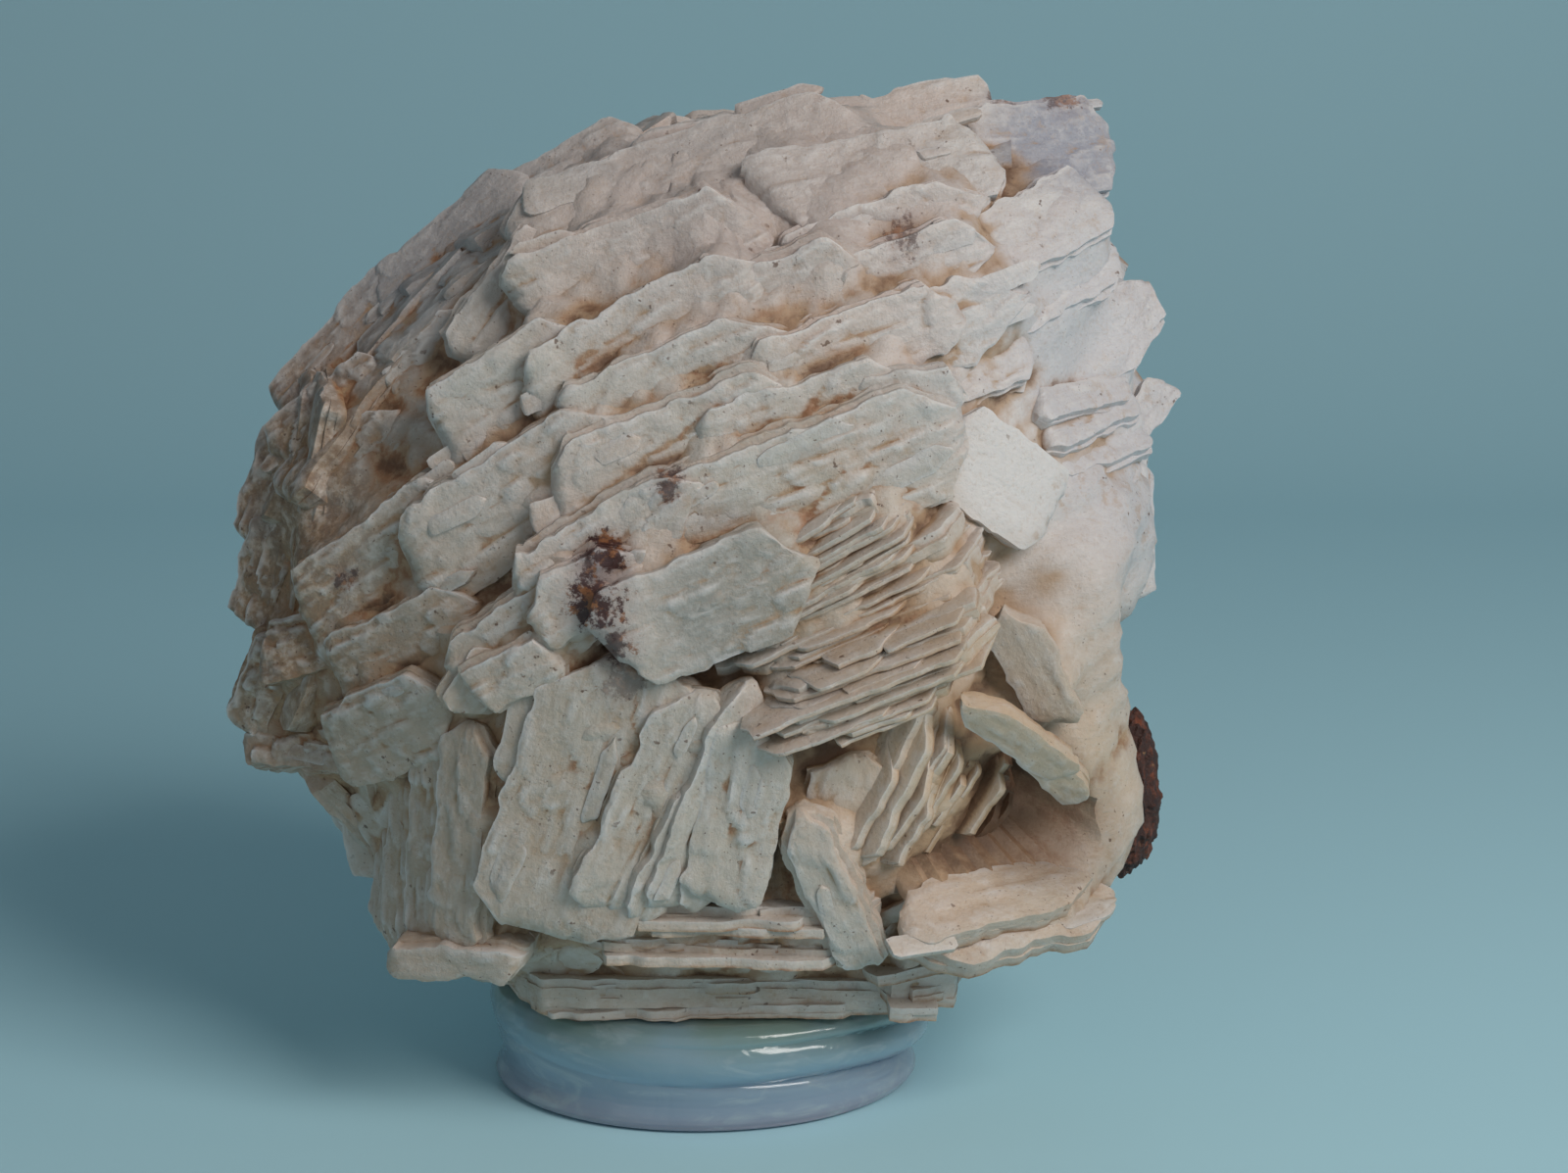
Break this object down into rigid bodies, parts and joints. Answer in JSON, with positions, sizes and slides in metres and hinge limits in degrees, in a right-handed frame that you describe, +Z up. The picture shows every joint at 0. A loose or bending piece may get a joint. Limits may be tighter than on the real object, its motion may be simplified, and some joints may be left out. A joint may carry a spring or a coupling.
{
  "type": "mineral specimen",
  "caption": "Cluster of cream tabular barite blades with rusty matrix, standing in a milky translucent foot of set glue.",
  "frame": {"origin": "middle of the flat underside of the glue foot, under the cluster", "axes": "+Z up, -Y towards the viewer of the best side, +X to the viewer's right"},
  "size_m": [0.1201, 0.0814, 0.1274],
  "materials": {
    "barite": "satin",
    "matrix": "rough",
    "glue": "gloss"
  },
  "bodies": {
    "root": {"barite_cluster": "barite", "rusty_matrix": "matrix", "glue_foot": "glue"}
  },
  "joints": []
}
